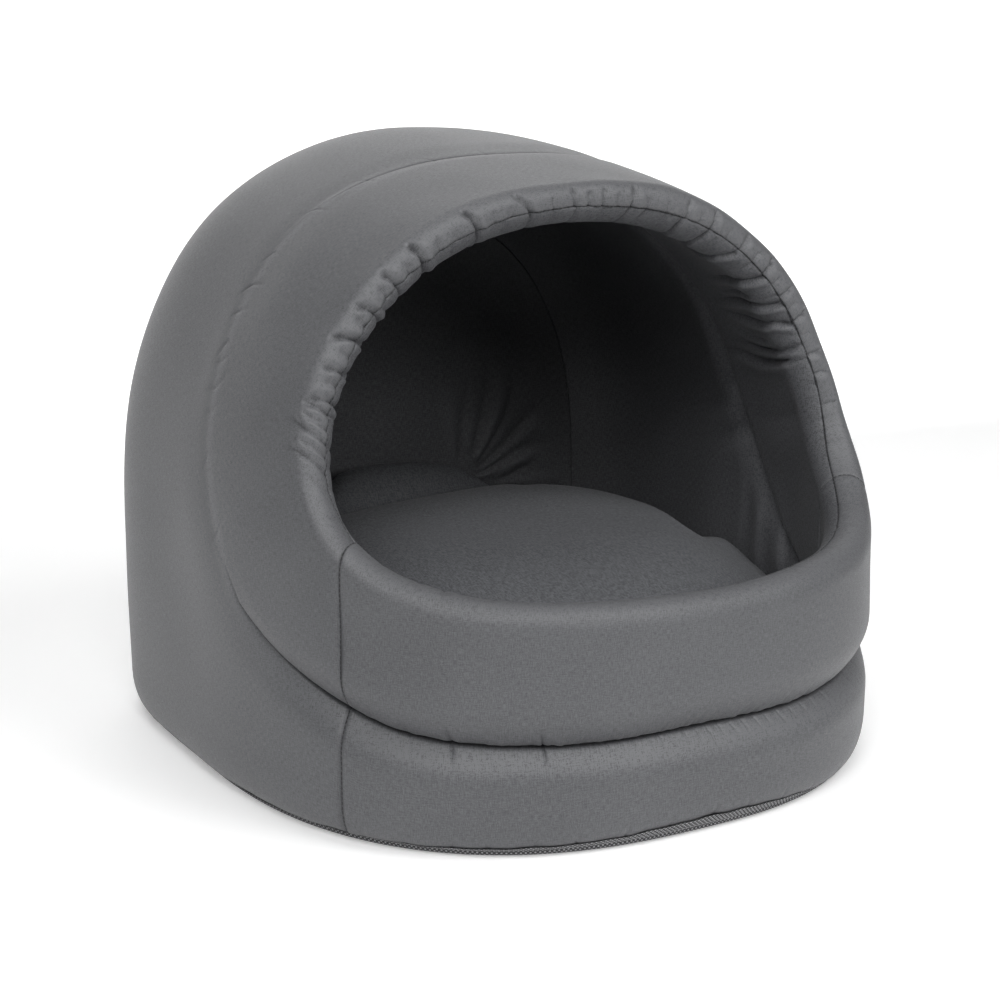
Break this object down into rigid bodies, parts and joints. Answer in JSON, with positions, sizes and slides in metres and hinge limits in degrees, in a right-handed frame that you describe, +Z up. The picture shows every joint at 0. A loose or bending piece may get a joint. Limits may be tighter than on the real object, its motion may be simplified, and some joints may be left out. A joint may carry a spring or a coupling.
{
  "type": "soft dog house",
  "caption": "Soft hooded house for a small pet, with a padded arched hood, a low padded front lip in stacked bolsters, a loose cushion and a non-slip base sheet.",
  "frame": {"origin": "middle of the base, on the surface that the house stands on", "axes": "+Z up, -Y out of the doorway, +X to the right as seen from the doorway"},
  "size_m": [0.42, 0.4226, 0.374],
  "materials": {
    "outer_cloth": "plain weave cotton look, soft sheen",
    "lining_cloth": "plain weave cotton look, matte",
    "cushion_cloth": "plain weave cotton look, matte",
    "grip_cloth": "coarse woven cloth with small grip dots"
  },
  "bodies": {
    "root": {"hood_panel": "outer_cloth", "front_panel": "outer_cloth", "back_panel": "outer_cloth", "hood_lining": "lining_cloth", "front_lining": "lining_cloth", "back_lining": "lining_cloth", "cushion": "cushion_cloth", "base_sheet": "grip_cloth"}
  },
  "joints": []
}
